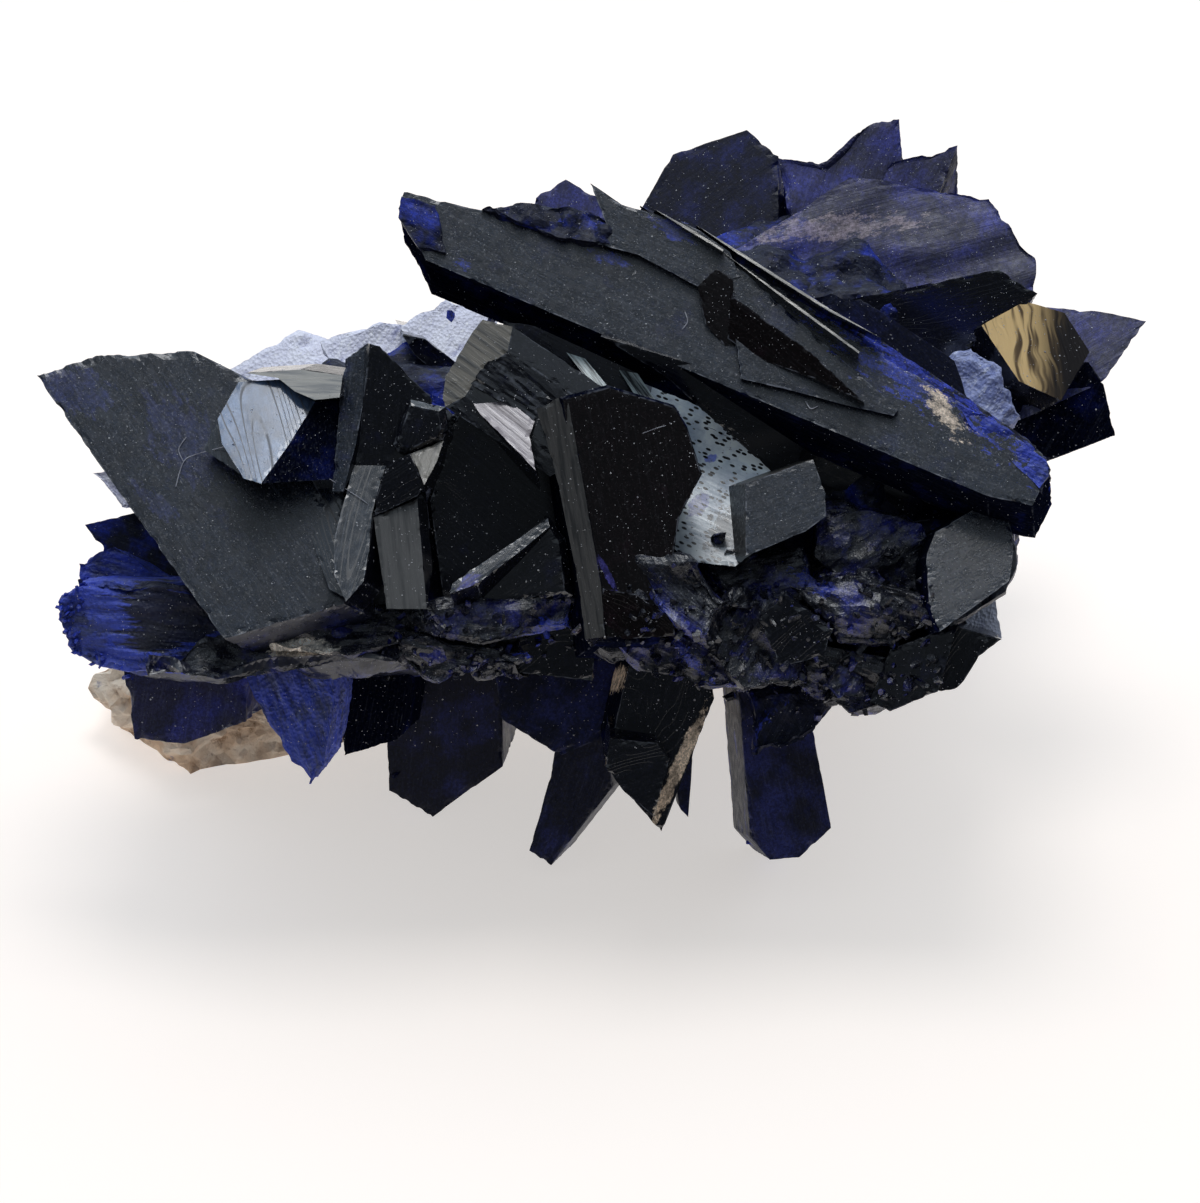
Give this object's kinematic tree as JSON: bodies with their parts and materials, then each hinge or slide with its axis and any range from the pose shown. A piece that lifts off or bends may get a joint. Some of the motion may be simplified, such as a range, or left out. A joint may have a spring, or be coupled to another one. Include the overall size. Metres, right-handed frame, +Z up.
{
  "type": "azurite crystal specimen",
  "caption": "Jagged cluster of dark azurite blades and stubby prisms grown together over a low remnant of buff clay matrix.",
  "frame": {"origin": "centre of the bounding box at the ground the specimen stands on", "axes": "+X along the longest extent, to the viewer's right; +Y away from the viewer of the display side; +Z up"},
  "size_m": [0.045, 0.0327, 0.028],
  "materials": {
    "azurite": "vitreous near-black blue faces, rough cobalt blue where etched or broken",
    "clay": "earthy, dull buff"
  },
  "bodies": {
    "root": {"azurite_cluster": "azurite", "clay_matrix": "clay"}
  },
  "joints": []
}
